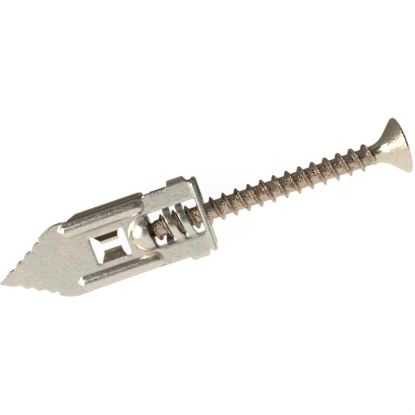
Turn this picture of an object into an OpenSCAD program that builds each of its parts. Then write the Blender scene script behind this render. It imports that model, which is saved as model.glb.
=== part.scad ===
// Hammer-in drywall anchor: a folded sheet body with a saw-toothed spear point, and its screw.
// The screw's axis runs along X, point to head, and the two legs of the body lie flat, one over
// the other. The origin is under the middle of the anchor, on the surface that it lies on.

/* [Sheet body] */
// Thickness of the sheet that the body is folded from
sheet_t = 0.85; // [0.7:0.05:0.95]
// Gap left between the two legs where they lie face to face
leg_gap = 0.1; // [0.06:0.02:0.16]
// Length of the body, from the point to the outer face of the mouth's lip
body_len = 33.45; // [31:0.05:38]
// Width across the straight sides where they leave the shoulder
body_w = 11.4; // [11:0.1:13]
// Width across the straight sides at the mouth
mouth_w = 11.2; // [10.4:0.1:11.4]

/* [Spear point] */
// Number of saw teeth on each edge of the point
teeth = 4; // [2:1:4]
// Distance from the point to the first tooth's corner
first_tooth_x = 1.88; // [1.4:0.02:2.4]
// Half width of the point at the first tooth's corner
first_tooth_y = 1.15; // [0.9:0.05:1.3]
// Distance along the point from one tooth to the next
tooth_pitch = 1.72; // [1.4:0.02:2]
// Widening of the point from one tooth to the next
tooth_rise = 0.94; // [0.8:0.02:1]
// Length of the long, nearly level edge of a tooth
tooth_land = 0.98; // [0.7:0.02:1.2]
// Radius of the shoulder that joins the point to the straight side
shoulder_r = 5.4; // [3:0.1:8]

/* [Stiffening ribs] */
// Width of a rib pressed along a leg's edge
rib_w = 2.4; // [2:0.1:2.6]
// Height of a rib above the sheet
rib_h = 0.85; // [0.5:0.05:1]
// Strip of flat sheet left between a rib and the side edge
rib_margin = 0.2; // [0.1:0.05:0.4]
// Distance from the end of the shoulder to a rib
rib_lead = 0.2; // [0:0.1:1]
// Distance from a rib to the inner face of the mouth's lip
rib_tail = 7.6; // [6:0.1:9]
// Width of the slimmer ribs on the back leg
back_rib_w = 1.4; // [1.2:0.1:1.6]
// Height of the slimmer ribs on the back leg
back_rib_h = 0.5; // [0.3:0.05:0.6]
// Thickness of the sheet where a rib stretches it
rib_wall = 0.55; // [0.4:0.05:0.6]

/* [Side tabs] */
// Depth of the side tabs, from the front face of the front leg
tab_depth = 2.5; // [2:0.1:3]
// Outward lean of the side tabs from square, in degrees
tab_lean = 12; // [6:1:16]
// Distance from the end of the shoulder to the root of a side tab
tab_lead = 1.9; // [1.2:0.1:3]
// Distance from the root of a side tab to the inner face of the mouth's lip
tab_tail = 7.4; // [6.5:0.1:9]
// Length of the slanted end of a side tab
tab_ramp = 1.1; // [0.6:0.1:1.6]
// Gap between a side tab and the edge of the back leg inside it
tab_clear = 0.12; // [0.08:0.02:0.3]

/* [Flap window] */
// Length of the window with the two bent flaps
flap_win_len = 5.55; // [5:0.05:6]
// Width of the window with the two bent flaps
flap_win_w = 4.3; // [3.8:0.05:4.6]
// Sheet left between this window and the dome
flap_win_gap = 0.45; // [0.3:0.05:1]
// Length of a flap where it leaves the sheet
flap_root = 4.05; // [3.6:0.05:4.3]
// Length of a flap along its shallow end part
flap_end = 2.8; // [2.4:0.05:3.2]
// Sheet length of a flap's steep part
flap_wall = 1.45; // [1.2:0.05:1.5]
// Sheet length of a flap's shallow end part
flap_shelf = 0.45; // [0.3:0.05:0.55]
// Slope of a flap's steep part, in degrees
flap_wall_deg = 40; // [36:1:46]
// Slope of a flap's shallow end part, in degrees
flap_shelf_deg = 12; // [6:1:20]
// Extra half width and end room of the back leg's matching window
back_win_room = 0.4; // [0.3:0.05:0.5]

/* [Thread window and mouth] */
// Length of the window that shows the screw, from the dome to the lip
win_len = 8.05; // [7.5:0.05:8.6]
// Radius of the window's corners at the mouth
win_corner = 0.7; // [0.3:0.05:1]
// Length of the dome's level part behind its open end
dome_flat = 0.55; // [0.2:0.05:1]
// Width of a half hoop that crosses the window
hoop_w = 1.1; // [0.9:0.05:1.2]
// Distance from the dome's open end to the middle of the first half hoop
hoop_lead = 3.65; // [3.2:0.05:3.8]
// Clearance around the screw's thread inside the dome and the hoops
turn_clear = 0.05; // [0.03:0.01:0.08]
// Width of the mouth's lip
lip_w = 11.0; // [9.8:0.1:11.2]
// Height of the lip's edge above the screw's axis
lip_h = 3.05; // [2.9:0.05:3.6]
// Radius inside the bend that turns the lip out
lip_bend = 0.35; // [0.2:0.05:0.6]
// Radius of the lip's corners
lip_corner = 0.6; // [0.2:0.05:1]
// Clearance around the thread in the lip's hole
mouth_clear = 0.15; // [0.1:0.05:0.3]

/* [Side folds] */
// Width across the folds that join the legs at the sides
fold_w = 12.9; // [12.3:0.1:13.4]
// Length of a side fold
fold_len = 3.35; // [2:0.05:3.6]
// Length over which a side fold's end slopes back to the side
fold_ramp = 0.45; // [0.3:0.05:0.9]
// Distance from a side fold to the inner face of the lip
fold_gap = 0.4; // [0.4:0.05:1.2]

/* [Screw] */
// Outside diameter of the thread
screw_d = 4.0; // [3.7:0.05:4.1]
// Diameter of the core under the thread
core_d = 2.7; // [2.3:0.05:2.9]
// Distance from one turn of the thread to the next
pitch = 2.0; // [1.9:0.02:2.1]
// Overall length of the screw
screw_len = 41.0; // [36:0.25:50]
// Distance from the screw's point to the outer face of the mouth
screw_in = 10.45; // [10:0.05:10.8]
// Length of the screw's conical point
point_len = 2.6; // [2:0.1:3]
// Width of a thread ridge at its foot
ridge_foot = 0.8; // [0.6:0.02:0.85]
// Width of a thread ridge at its crest
ridge_crest = 0.16; // [0.08:0.02:0.24]
// Length over which the thread grows from nothing at the point
thread_grow = 3.0; // [2:0.1:3.4]
// Length of the thread that runs onto the curve under the head
thread_over = 0.6; // [0.2:0.1:0.8]
// Length over which the thread runs out under the head
thread_fade = 1.3; // [1:0.1:2]

/* [Screw head] */
// Diameter of the head
head_d = 8.5; // [8:0.1:9]
// Thickness of the cylindrical rim of the head
rim_t = 0.3; // [0.2:0.05:0.6]
// Half angle of the head's cone
head_deg = 45; // [40:1:50]
// Radius of the curve from the neck to the head's cone
neck_r = 3.6; // [2.5:0.1:4.2]
// Size of the bevel on the rim's edge
rim_bevel = 0.08; // [0.04:0.01:0.12]
// Width across the cross recess at the head's face
cross_w = 4.4; // [3.8:0.1:5]
// Width across the cross recess at its floor
cross_floor_w = 1.9; // [1.5:0.1:2.4]
// Depth of the cross recess
cross_depth = 2.1; // [1.6:0.1:2.2]
// Thickness of a wing of the cross recess
cross_t = 0.9; // [0.7:0.05:1.1]

/* [Hidden] */
$fn = 64;
eps = 0.01;

// Heights and stations of the body, from the screw's axis and from the point
gap_z = leg_gap / 2;
face_z = gap_z + sheet_t;
lip_in_x = body_len - sheet_t;
bend_x = lip_in_x - lip_bend;
neck_x = bend_x - 0.5;
room_x = bend_x - 1;
dome_x = lip_in_x - win_len;
bore_r = screw_d / 2 + turn_clear;
dome_r = bore_r + sheet_t;
dome_c = dome_x - dome_flat;
win_half = sqrt(dome_r * dome_r - face_z * face_z);
flap_win_x = dome_c - win_half - flap_win_gap - flap_win_len / 2;

// The teeth: each has a corner, then a long edge that ends in a notch
tooth_dip = 0.08;
tip_half = 0.1;
function corner(i) = [first_tooth_x + i * tooth_pitch, first_tooth_y + i * tooth_rise];
function notch(i) = corner(i) + [tooth_land, tooth_dip];
function arc(c, r, a0, a1, n) =
    [for (i = [0:n]) c + r * [cos(a0 + (a1 - a0) * i / n), sin(a0 + (a1 - a0) * i / n)]];

// The shoulder's arc starts above the last notch, as a tooth would, and ends on the side
shoulder_step = [0.14, 0.7];
shoulder_start = notch(teeth - 1) + shoulder_step;
shoulder_deg = acos(1 - (body_w / 2 - shoulder_start[1]) / shoulder_r);
shoulder_x = shoulder_start[0] + shoulder_r * sin(shoulder_deg);
shoulder = arc([shoulder_x, body_w / 2 - shoulder_r], shoulder_r, 90 + shoulder_deg, 90, 8);
point_edge = [for (i = [0:teeth - 1]) each [corner(i), notch(i)]];
half_edge = concat([[0, tip_half]], point_edge, shoulder,
                   [[neck_x, mouth_w / 2], [bend_x, lip_w / 2], [bend_x + eps, lip_w / 2]]);
other_edge = [for (i = [len(half_edge) - 1:-1:0]) [half_edge[i][0], -half_edge[i][1]]];
taper_deg = atan((body_w - mouth_w) / 2 / (neck_x - shoulder_x));

// Side tabs and the narrower stretch of the back leg that they embrace
tab_x0 = shoulder_x + tab_lead;
tab_x1 = lip_in_x - tab_tail;
tab_round = 0.5;
taper_room = 0.2;
embrace_half = body_w / 2 - sheet_t - tab_clear - taper_room;

// Rounded edge of the lip, and the rounded corners of the flap window
lip_edge_r = 0.25;
flap_win_r = 0.3;

// Side folds: the fold's axis lies between the legs
fold_y = fold_w / 2 - face_z;
fold_x1 = lip_in_x - fold_gap;
fold_x0 = fold_x1 - fold_len;
fold_foot = mouth_w / 2 - 0.2;

// Screw: stations along the body's axis, and the thread's phase, which puts the front hoops in its
// valleys
screw_x = body_len - screw_in;
head_x = screw_x + screw_len;
thread_phase = dome_x + hoop_lead - screw_x;
neck_rise = neck_r * (1 - cos(head_deg));
cone_len = (head_d / 2 - core_d / 2 - neck_rise) / tan(head_deg);
neck_end = screw_len - rim_t - cone_len - neck_r * sin(head_deg);
thread_end = neck_end + thread_over;
thread_start = 0.7;
thread_sink = 0.12;
steps_per_turn = 20;

module along_x(x) {
    translate([x, 0, 0]) rotate([0, 90, 0]) children();
}

// Turns an outline given as [radius, station] about the X axis
module turned(outline) {
    rotate([0, 90, 0]) rotate_extrude() polygon(outline);
}

module both_sides() {
    children();
    mirror([0, 1, 0]) children();
}

// A long slot shape with round ends, from x0 to x1, of width w
module slot(x0, x1, w) {
    translate([x0 + w / 2, -w / 2]) square([x1 - x0 - w, w]);
    translate([x0 + w / 2, 0]) circle(d = w);
    translate([x1 - w / 2, 0]) circle(d = w);
}

// The outside of a pressed rib: the top of a rod with round ends, of which h shows above the sheet
module rib_skin(x0, x1, w, h) {
    r = (w * w / 4 + h * h) / (2 * h);
    z = face_z + h - r;
    intersection() {
        translate([0, 0, z]) turned(concat(arc([0, x0 + w / 2], r, -90, 0, 8),
                                           arc([0, x1 - w / 2], r, 0, 90, 8)));
        translate([x0 - w, -w, gap_z]) cube([x1 - x0 + 2 * w, 2 * w, face_z + h]);
    }
}

// The hollow behind a rib
module rib_hollow(x0, x1, w, h) {
    translate([0, 0, -face_z]) linear_extrude(2 * face_z + h - rib_wall)
        slot(x0 + rib_wall, x1 - rib_wall, w - 2 * rib_wall);
}

// The outside of the bullet-shaped dome, and the room for the screw inside the dome and the mouth
module dome_skin() {
    intersection() {
        turned(concat(arc([0, dome_c], dome_r, -90, 0, 10), [[dome_r, dome_x], [0, dome_x]]));
        translate([0, -body_w, gap_z]) cube([body_len, 2 * body_w, body_w]);
    }
}

module screw_room() {
    mouth_r = screw_d / 2 + mouth_clear;
    turned(concat(arc([0, dome_c], bore_r, -90, 0, 10),
                  [[bore_r, room_x], [mouth_r, room_x], [mouth_r, body_len + 1],
                   [0, body_len + 1]]));
}

// A half hoop, slanted as the thread is: lean is 1 on the front leg and -1 on the back leg
module hoop(x, lean) {
    run = lean * pitch / 4;
    intersection() {
        difference() {
            along_x(dome_x) cylinder(r = dome_r, h = win_len);
            along_x(dome_x - 1) cylinder(r = bore_r, h = win_len + 2);
        }
        translate([0, 0, gap_z]) linear_extrude(dome_r)
            polygon([[x - run - hoop_w / 2, dome_r], [x - run + hoop_w / 2, dome_r],
                     [x + run + hoop_w / 2, -dome_r], [x + run - hoop_w / 2, -dome_r]]);
    }
}

// The window that shows the screw, square at the dome and round-cornered at the lip
module thread_window() {
    r = win_corner;
    linear_extrude(2 * face_z + 2 * lip_bend, center = true) {
        translate([dome_x, -win_half]) square([win_len - r, 2 * win_half]);
        translate([dome_x, r - win_half]) square([win_len, 2 * (win_half - r)]);
        for (s = [-1, 1]) translate([lip_in_x - r, s * (win_half - r)]) circle(r = r);
    }
}

// The end of a leg: the sheet bends outward into the lip that stops against the board
module lip() {
    c = [bend_x, face_z + lip_bend];
    top_r = lip_edge_r;
    section = concat([[bend_x - eps, face_z], [bend_x - eps, gap_z]],
                     arc(c, lip_bend + sheet_t, -90, 0, 8),
                     arc([body_len - top_r, lip_h - top_r], top_r, 0, 90, 4),
                     arc([lip_in_x + top_r, lip_h - top_r], top_r, 90, 180, 4),
                     arc(c, lip_bend, 0, -90, 8));
    intersection() {
        rotate([90, 0, 0]) linear_extrude(lip_w, center = true) polygon(section);
        translate([room_x, 0, 0]) rotate([90, 0, 90]) linear_extrude(body_len)
            lip_outline();
    }
}

// The lip seen from the head, with round corners
module lip_outline() {
    r = lip_corner;
    translate([-lip_w / 2, 0]) square([lip_w, lip_h - r]);
    translate([r - lip_w / 2, 0]) square([lip_w - 2 * r, lip_h]);
    for (s = [-1, 1]) translate([s * (lip_w / 2 - r), lip_h - r]) circle(r = r);
}

// A flap of the front leg's window: a steep part, then a shallow end part
module flap() {
    y0 = flap_win_w / 2;
    wall_dir = [-cos(flap_wall_deg), -sin(flap_wall_deg)];
    shelf_dir = [-cos(flap_shelf_deg), -sin(flap_shelf_deg)];
    wall_in = sheet_t * [sin(flap_wall_deg), -cos(flap_wall_deg)];
    shelf_in = sheet_t * [sin(flap_shelf_deg), -cos(flap_shelf_deg)];
    p0 = [y0, face_z];
    p1 = p0 + flap_wall * wall_dir;
    p2 = p1 + flap_shelf * shelf_dir;
    crease = p1 + [wall_in[0] + shelf_in[0], wall_in[1] + shelf_in[1]] / 2;
    section = [[y0 + sheet_t, face_z], p0, p1, p2, p2 + shelf_in, crease, p0 + wall_in,
               [y0 + sheet_t, gap_z]];
    end_y = p2[0] - sheet_t;
    intersection() {
        translate([flap_win_x, 0, 0]) rotate([90, 0, 90])
            linear_extrude(flap_root, center = true) polygon(section);
        translate([0, 0, -3 * face_z]) linear_extrude(6 * face_z)
            polygon([[flap_win_x - flap_root / 2, y0 + 1], [flap_win_x - flap_root / 2, y0],
                     [flap_win_x - flap_end / 2, p1[0]], [flap_win_x - flap_end / 2, end_y],
                     [flap_win_x + flap_end / 2, end_y], [flap_win_x + flap_end / 2, p1[0]],
                     [flap_win_x + flap_root / 2, y0], [flap_win_x + flap_root / 2, y0 + 1]]);
    }
}

// The window with the flaps, with extra room on the back leg
module flap_window(room) {
    r = flap_win_r;
    l = flap_win_len / 2 + room / 2;
    w = flap_win_w / 2 + room;
    translate([flap_win_x, 0, 0]) linear_extrude(4 * face_z, center = true) {
        square([2 * l - 2 * r, 2 * w], center = true);
        square([2 * l, 2 * w - 2 * r], center = true);
        for (sx = [-1, 1], sy = [-1, 1]) translate([sx * (l - r), sy * (w - r)]) circle(r = r);
    }
}

// A side tab of the front leg, bent back over the edge of the back leg
module side_tab() {
    z1 = face_z - tab_depth;
    lean = tan(tab_lean) * (tab_depth - tab_round);
    section = concat([[-sheet_t - tab_round, face_z]],
                     arc([-tab_round, face_z - tab_round], tab_round, 90, 0, 4),
                     [[lean, z1], [lean - sheet_t, z1], [-sheet_t, gap_z], [-sheet_t - tab_round, gap_z]]);
    side = concat([[0, face_z + eps], [0, gap_z], [tab_ramp, z1]],
                  arc([tab_x1 - tab_x0 - tab_ramp, z1 + tab_ramp], tab_ramp, -90, 0, 6),
                  [[tab_x1 - tab_x0, face_z + eps]]);
    translate([shoulder_x, body_w / 2, 0]) rotate([0, 0, -taper_deg])
        translate([tab_x0 - shoulder_x, 0, 0]) intersection() {
            rotate([90, 0, 90]) linear_extrude(tab_x1 - tab_x0) polygon(section);
            rotate([90, 0, 0]) linear_extrude(4 * sheet_t, center = true) polygon(side);
        }
}

// A side fold, as a rod between the legs with sloped ends and a slit where the sheet meets itself
module side_fold(closed) {
    slit = closed ? fold_y : fold_w;
    difference() {
        intersection() {
            union() {
                translate([0, fold_y, 0]) along_x(fold_x0) cylinder(r = face_z, h = fold_len);
                translate([fold_x0, fold_y - 1, -face_z]) cube([fold_len, 1, 2 * face_z]);
            }
            linear_extrude(4 * face_z, center = true)
                polygon([[fold_x0, 0], [fold_x0, fold_foot],
                         [fold_x0 + fold_ramp, fold_w / 2 + eps],
                         [fold_x1 - fold_ramp, fold_w / 2 + eps],
                         [fold_x1, fold_foot], [fold_x1, 0]]);
        }
        translate([fold_x0 - 1, 0, -gap_z]) cube([fold_len + 2, slit, leg_gap]);
        translate([0, fold_y, 0]) along_x(fold_x0 - 1) cylinder(r = gap_z, h = fold_len + 2);
    }
}

// What both legs share: the flat sheet, ribs, dome, hoops and lip, with lean 1 for the front leg
module leg(lean, w, h, rib_y, room) {
    rib_x0 = shoulder_x + rib_lead;
    rib_x1 = lip_in_x - rib_tail;
    difference() {
        union() {
            difference() {
                translate([0, 0, gap_z]) linear_extrude(sheet_t)
                    polygon(concat(half_edge, other_edge));
                thread_window();
                flap_window(room);
                if (lean < 0) embrace();
            }
            both_sides() translate([0, rib_y, 0]) rib_skin(rib_x0, rib_x1, w, h);
            dome_skin();
            lip();
        }
        both_sides() translate([0, rib_y, 0]) rib_hollow(rib_x0, rib_x1, w, h);
        screw_room();
    }
    first = dome_x + hoop_lead - (lean > 0 ? 0 : pitch / 2);
    for (k = [0:1]) hoop(first + k * pitch, lean);
}

// The room that the back leg leaves for the side tabs
module embrace() {
    both_sides() translate([tab_x0 - tab_ramp, embrace_half, -face_z])
        cube([tab_x1 - tab_x0 + 2 * tab_ramp, body_w, 4 * face_z]);
}

// The folded sheet body: a front leg, a back leg turned over under it, and what joins them
module anchor_body() {
    front_rib_y = body_w / 2 - rib_margin - rib_w / 2;
    back_rib_y = embrace_half - rib_margin - back_rib_w / 2;
    color("#c9bd9c") {
        leg(1, rib_w, rib_h, front_rib_y, 0);
        both_sides() {
            flap();
            side_tab();
        }
        mirror([0, 0, 1]) leg(-1, back_rib_w, back_rib_h, back_rib_y, back_win_room);
        mirror([0, 1, 0]) side_fold(true);
        side_fold(false);
    }
}

// The screw's outline, revolved about its axis from the point to the head's face
module screw_blank() {
    c = core_d / 2;
    rim = head_d / 2;
    rotate_extrude() polygon(concat(
        [[0, 0], [c, point_len]],
        arc([c + neck_r, neck_end], neck_r, 180, 180 - head_deg, 8),
        [[rim, screw_len - rim_t], [rim, screw_len - rim_bevel],
         [rim - rim_bevel, screw_len], [0, screw_len]]));
}

// The thread: a ridge swept along a helix, growing at the point and running out under the head
module thread() {
    per_turn = steps_per_turn;
    sink = thread_sink;
    growth = 0.6;
    turn0 = ceil((thread_start - thread_phase) / pitch * per_turn);
    turn1 = floor((thread_end - thread_phase) / pitch * per_turn);
    function core_at(z) = core_d / 2 * min(1, z / point_len);
    function crest_at(z) = min(screw_d / 2,
                               growth * (core_at(z) + screw_d / 2 * z / thread_grow),
                               core_d / 2 - sink / 2
                               + (screw_d - core_d) / 2 * (thread_end - z) / thread_fade);
    function ring(i) =
        let (z = thread_phase + i * pitch / per_turn,
             a = 360 * i / per_turn,
             low = max(core_at(z) - sink, 0.05),
             top = max(crest_at(z), low + 0.02),
             dir = [cos(a), sin(a)])
        [for (p = [[low, -ridge_foot / 2], [top, -ridge_crest / 2],
                   [top, ridge_crest / 2], [low, ridge_foot / 2]])
            [p[0] * dir[0], p[0] * dir[1], z + p[1]]];
    rings = [for (i = [turn0:turn1]) ring(i)];
    n = len(rings);
    polyhedron(
        points = [for (r = rings) each r],
        faces = concat(
            [[3, 2, 1, 0]],
            [for (i = [0:n - 2], j = [0:3]) let (a = 4 * i + j, b = 4 * i + (j + 1) % 4)
                each [[a, b + 4, a + 4], [a, b, b + 4]]],
            [[4 * n - 4, 4 * n - 3, 4 * n - 2, 4 * n - 1]]));
}

// The cross recess: two crossed wings that narrow towards their floor
module cross_recess() {
    z0 = screw_len - cross_depth;
    for (a = [0, 90]) rotate([90, 0, a]) linear_extrude(cross_t, center = true)
        polygon([[-cross_floor_w / 2, z0], [cross_floor_w / 2, z0],
                 [cross_w / 2, screw_len + eps], [-cross_w / 2, screw_len + eps]]);
}

module screw() {
    color("#b59a72") along_x(screw_x) difference() {
        union() {
            screw_blank();
            thread();
        }
        cross_recess();
    }
}

module placed() {
    translate([-head_x / 2, 0, head_d / 2]) children();
}

placed() anchor_body();
placed() screw();
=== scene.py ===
"""Looks of a hammer-in drywall anchor: the folded sheet body and its screw, on a white floor.

Each leg of the sheet is drawn as a flat pattern (u along it, v across it), filled with triangles,
then bent and pressed into shape, and closed with rounded edges. Four half hoops cross its windows.
The screw is one swept surface with its head and recess.
"""

import math

import bmesh
import bpy
import numpy as np
from mathutils import Matrix, Vector
from mathutils.geometry import delaunay_2d_cdt

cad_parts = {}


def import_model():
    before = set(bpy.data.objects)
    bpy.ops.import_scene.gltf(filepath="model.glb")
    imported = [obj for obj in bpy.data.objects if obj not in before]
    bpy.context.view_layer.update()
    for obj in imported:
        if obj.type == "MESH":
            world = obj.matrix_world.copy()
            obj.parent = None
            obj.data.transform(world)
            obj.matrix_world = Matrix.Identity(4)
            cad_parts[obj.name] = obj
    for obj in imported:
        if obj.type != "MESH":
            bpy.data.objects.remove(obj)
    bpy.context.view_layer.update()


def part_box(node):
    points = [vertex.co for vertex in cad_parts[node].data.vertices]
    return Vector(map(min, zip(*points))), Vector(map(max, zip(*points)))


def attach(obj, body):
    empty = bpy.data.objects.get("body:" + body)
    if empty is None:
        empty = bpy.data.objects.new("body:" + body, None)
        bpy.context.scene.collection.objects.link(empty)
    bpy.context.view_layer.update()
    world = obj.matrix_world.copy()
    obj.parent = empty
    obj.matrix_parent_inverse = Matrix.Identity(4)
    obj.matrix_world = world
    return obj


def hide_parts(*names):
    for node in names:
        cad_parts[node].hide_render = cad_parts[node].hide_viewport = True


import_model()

# Shapes are worked out in millimetres from the spear point, with the screw's axis at y = z = 0
MM = 0.001
BODY_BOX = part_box("anchor_body")
SCREW_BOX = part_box("screw")
TIP_X = BODY_BOX[0].x
AXIS_Z = (SCREW_BOX[0].z + SCREW_BOX[1].z) / 2

# The sheet: a leg's inner face lies GAP from the middle plane, and its outer face lies FACE from it
SHEET, GAP = 0.85, 0.05
FACE = GAP + SHEET
EDGE_R = 0.07
CREASE_R = 0.03

# The legs and the lip at the mouth
BODY_LEN = (BODY_BOX[1].x - TIP_X) / MM
BODY_HALF, MOUTH_HALF = 5.7, 5.6
LIP_IN = BODY_LEN - SHEET
LIP_BEND = 0.35
LIP_HALF, LIP_TOP, LIP_R, LIP_EDGE_R = 5.5, 3.05, 0.6, 0.4
BEND_X = LIP_IN - LIP_BEND
BEND_END = BEND_X + LIP_BEND * math.pi / 2
NECK_X = BEND_X - 0.5

# The window over the screw, with the dome, the mouth's hole and the half hoops
WIN_LEN, WIN_CORNER, DOME_FLAT = 8.05, 0.75, 0.55
DOME_X = LIP_IN - WIN_LEN
DOME_C = DOME_X - DOME_FLAT
BORE_R = 2.05
DOME_R = BORE_R + SHEET
DOME_FOOT = 0.35
WIN_HALF = math.sqrt(DOME_R ** 2 - FACE ** 2)
MOUTH_R = 2.15
PITCH = 2.0
HOOP_X, HOOP_W, HOOP_EDGE_R, HOOP_FOOT_R = DOME_X + 3.65, 1.1, 0.12, 0.62

# The window with the two flaps, and the plain one behind it
FLAP_WIN, FLAP_CORNER = (5.55, 4.3), 0.3
FLAP_X = DOME_C - WIN_HALF - 0.45 - FLAP_WIN[0] / 2
FLAP_ROOT, FLAP_END, FLAP_SLOPE, FLAP_TIP_R = 2.02, 1.4, 1.45, 0.14
BACK_WIN_ROOM = (0.2, 0.4)

# The saw-toothed point and its shoulder
TIP_HALF = 0.1
TEETH, TOOTH_AT, TOOTH_STEP, TOOTH_LAND = 4, (1.88, 1.15), (1.72, 0.94), (0.98, 0.08)
TOOTH_R, TOOTH_EDGE_R = 0.16, 0.04
SHOULDER_R, SHOULDER_STEP = 5.4, (0.14, 0.7)
SHOULDER_AT = [TOOTH_AT[k] + (TEETH - 1) * TOOTH_STEP[k] + TOOTH_LAND[k] + SHOULDER_STEP[k]
               for k in (0, 1)]
SHOULDER_A = math.acos(1 - (BODY_HALF - SHOULDER_AT[1]) / SHOULDER_R)
SHOULDER_X = SHOULDER_AT[0] + SHOULDER_R * math.sin(SHOULDER_A)

# The ribs (width and height), the side tabs and the side folds
RIB_X = (SHOULDER_X + 0.2, LIP_IN - 7.6)
RIB_MARGIN, RIB_FOOT = 0.2, 0.25
FRONT_RIB, BACK_RIB = (2.4, 0.85), (1.4, 0.5)
TAB_X = (SHOULDER_X + 1.9, LIP_IN - 7.4)
TAB_R, TAB_TURN, TAB_RAMP, TAB_LOW, TAB_EASE = 0.5, math.radians(78), 1.1, FACE - 2.5, 0.2
WAIST_HALF = BODY_HALF - SHEET - 0.32
FOLD_HALF, FOLD_LEN, FOLD_GAP = 6.45, 3.35, 0.4
FOLD_Y = FOLD_HALF - FACE
FOLD_X = (LIP_IN - FOLD_GAP - FOLD_LEN, LIP_IN - FOLD_GAP)
FOLD_RAMP, FOLD_FOOT = 0.45, MOUTH_HALF - 0.2

# The screw
SCREW_X = (SCREW_BOX[0].x - TIP_X) / MM
SCREW_LEN = (SCREW_BOX[1].x - SCREW_BOX[0].x) / MM
CREST_R, CORE_R = 2.0, 1.35
HEAD_R = (SCREW_BOX[1].z - SCREW_BOX[0].z) / 2 / MM
POINT_LEN, THREAD_GROW, THREAD_FADE, THREAD_OVER = 2.6, 3.0, 1.3, 0.6
RIM_T, RIM_R, FACE_R, NECK_R, PLAIN_LEN = 0.3, 0.12, 0.05, 3.6, 4.6
NECK_RISE = NECK_R * (1 - math.cos(math.pi / 4))
NECK_END = SCREW_LEN - RIM_T - (HEAD_R - CORE_R - NECK_RISE) - NECK_R * math.sin(math.pi / 4)
THREAD_END = NECK_END + THREAD_OVER
THREAD_CUT = THREAD_END + 0.2
THREAD_PHASE = HOOP_X - SCREW_X + PITCH / 2
TURN_STEPS = 72

# Places along one pitch of the thread, closer together on the ridge. The ridge is at 0
RIDGE_STEPS = np.array([-1, -.8, -.62, -.52, -.46, -.42, -.38, -.32, -.25, -.18, -.12, -.08, -.045, 0,
                        .045, .08, .12, .18, .25, .32, .38, .42, .46, .52, .62, .8]) * PITCH / 2

# The cross recess, as depth, reach of its arms and half their width, and the depth of its point
RECESS = [(0.0, 2.26, 0.56), (0.03, 2.21, 0.51), (0.08, 2.18, 0.48), (0.7, 1.82, 0.45),
          (1.4, 1.42, 0.42), (2.0, 1.06, 0.40), (2.08, 0.96, 0.34)]
RECESS_END = 2.12


# ---------------------------------------------------------------- curves

def side_at(u):
    """Half width of the flat legs between the shoulder and the neck."""
    return BODY_HALF + (MOUTH_HALF - BODY_HALF) * (u - SHOULDER_X) / (NECK_X - SHOULDER_X)


def smoothstep(t):
    t = np.clip(t, 0, 1)
    return t * t * (3 - 2 * t)


def smax(a, b, k):
    """The larger of a and b, with a rounded change from one to the other of width k."""
    h = np.clip(0.5 + 0.5 * (a - b) / k, 0, 1)
    return b + (a - b) * h + k * h * (1 - h)


def cap(d, r, share, sink, fall):
    """Height of a round of radius r whose middle is sunk into the sheet, at a distance d from its
    ridge. Past a share of its radius it goes on as a straight flank."""
    lim = share * r
    return np.sqrt(np.maximum(r * r - np.minimum(d, lim) ** 2, 0)) - sink - np.maximum(d - lim, 0) * fall


def arc2(c, r, a0, a1, n):
    """Points on an arc, angles in degrees."""
    turns = [math.radians(a0 + (a1 - a0) * i / n) for i in range(n + 1)]
    return [(c[0] + r * math.cos(a), c[1] + r * math.sin(a)) for a in turns]


def rounded_box(half_x, half_y, r, n):
    """A loop round a rectangle with rounded corners."""
    pts = []
    for sx, sy, a in ((1, 1, 0), (-1, 1, 90), (-1, -1, 180), (1, -1, 270)):
        pts += arc2((sx * (half_x - r), sy * (half_y - r)), r, a, a + 90, n)
    return pts


def mirror_loop(half):
    """A closed loop from its half above the middle line, whose ends lie on that line."""
    return half[:-1] + [(x, -y) for x, y in reversed(half[1:])]


def round_corners(pts, r, keep):
    """Rounds the first corners of an open line, as many as keep says."""
    out = [pts[0]]
    for i in range(1, len(pts) - 1):
        if i >= keep:
            out.append(pts[i])
            continue
        a, b, c = (np.array(k) for k in pts[i - 1:i + 2])
        d0, d1 = a - b, c - b
        t = min(r, 0.45 * np.linalg.norm(d0), 0.45 * np.linalg.norm(d1))
        p0, p2 = b + d0 / np.linalg.norm(d0) * t, b + d1 / np.linalg.norm(d1) * t
        for k in np.linspace(0, 1, 5):
            out.append(tuple((1 - k) ** 2 * p0 + 2 * k * (1 - k) * b + k * k * p2))
    return out + [pts[-1]]


def dense(edge, step=0.22):
    """Splits an open line of (u, v, edge radius) into short steps."""
    out = []
    for a, b in zip(edge[:-1], edge[1:]):
        d = math.hypot(b[0] - a[0], b[1] - a[1])
        if d <= 1e-6:
            continue
        k = max(1, math.ceil(d / step))
        for i in range(k):
            r = a[2] if i == 0 else max(a[2], b[2])
            out.append((a[0] + (b[0] - a[0]) * i / k, a[1] + (b[1] - a[1]) * i / k, r))
    return out + [edge[-1]]


def dense_loop(loop):
    """Splits a closed loop of (u, v) into short steps."""
    line = [(u, v, 0.0) for u, v in loop + loop[:1]]
    return [(u, v) for u, v, _ in dense(line)[:-1]]


# ---------------------------------------------------------------- sheet bends

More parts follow.
